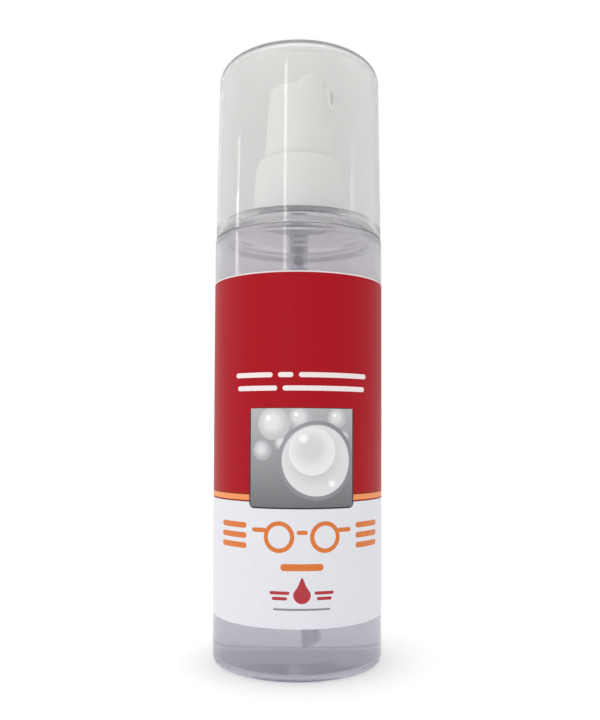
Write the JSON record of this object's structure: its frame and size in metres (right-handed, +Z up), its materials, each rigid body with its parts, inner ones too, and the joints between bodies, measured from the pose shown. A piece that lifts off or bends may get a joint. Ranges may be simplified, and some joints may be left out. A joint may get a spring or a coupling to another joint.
{
  "type": "pump spray bottle",
  "caption": "Clear round bottle of lens cleaner with a wrap label, a white finger-pump sprayer screwed on its neck and a clear domed overcap.",
  "frame": {"origin": "centre of the base, on the surface the bottle stands on", "axes": "+Z up along the bottle, -Y out of the label's front, nozzle at rest towards +X turned a little to -Y"},
  "size_m": [0.0402, 0.0402, 0.1449],
  "materials": {
    "clear_bottle": "clear blow-moulded plastic",
    "clear_cap": "clear, slightly milky injection moulding",
    "liquid": "clear water-thin liquid",
    "printed_label": "printed glossy film, red above white",
    "white_moulding": "white injection moulding, satin gloss",
    "dark_moulding": "black injection moulding",
    "natural_moulding": "uncoloured translucent moulding",
    "tube_plastic": "extruded translucent tube",
    "soft_seal": "soft off-white sealing washer",
    "spring_steel": "drawn stainless wire and polished ball"
  },
  "bodies": {
    "bottle_body": {"bottle": "clear_bottle", "wrap_label": "printed_label", "cleaning_fluid": "liquid"},
    "pump_unit": {"pump_housing": "natural_moulding", "neck_gasket": "soft_seal", "vent_seal": "soft_seal", "pump_retainer": "white_moulding", "main_spring": "spring_steel", "dip_tube": "tube_plastic"},
    "closure": {"closure_collar": "white_moulding"},
    "plunger": {"piston_seat": "natural_moulding"},
    "piston_ring": {"piston": "natural_moulding"},
    "spray_head": {"actuator": "white_moulding", "spray_insert": "dark_moulding", "stem": "white_moulding"},
    "ball": {"inlet_ball": "spring_steel"},
    "cap": {"overcap": "clear_cap"}
  },
  "joints": [
    {"name": "pump_lift", "type": "slide", "parent": "bottle_body", "child": "pump_unit", "axis": [0, 0, 1], "range_m": [0, 0.00423]},
    {"name": "collar_unscrew", "type": "hinge", "parent": "pump_unit", "child": "closure", "pos_m": [0, 0, 0.1052], "axis": [0, 0, 1], "range_deg": [0, 480]},
    {"name": "pump_press", "type": "slide", "parent": "pump_unit", "child": "plunger", "axis": [0, 0, -1], "range_m": [0, 0.0036], "stiffness_N_per_m": 800, "springref_m": -0.004, "deforming": ["main_spring"]},
    {"name": "piston_slip", "type": "slide", "parent": "plunger", "child": "piston_ring", "axis": [0, 0, 1], "range_m": [0, 0.0005]},
    {"name": "head_swivel", "type": "hinge", "parent": "plunger", "child": "spray_head", "pos_m": [0, 0, 0.1217], "axis": [0, 0, 1], "continuous": true},
    {"name": "ball_lift", "type": "slide", "parent": "pump_unit", "child": "ball", "axis": [0, 0, 1], "range_m": [0, 0.0007]},
    {"name": "cap_off", "type": "slide", "parent": "pump_unit", "child": "cap", "axis": [0, 0, 1], "range_m": [0, 0.05]}
  ],
  "couplings": [
    {"joint": "pump_lift", "follows": "collar_unscrew", "m_per_rad": 0.00050532}
  ]
}
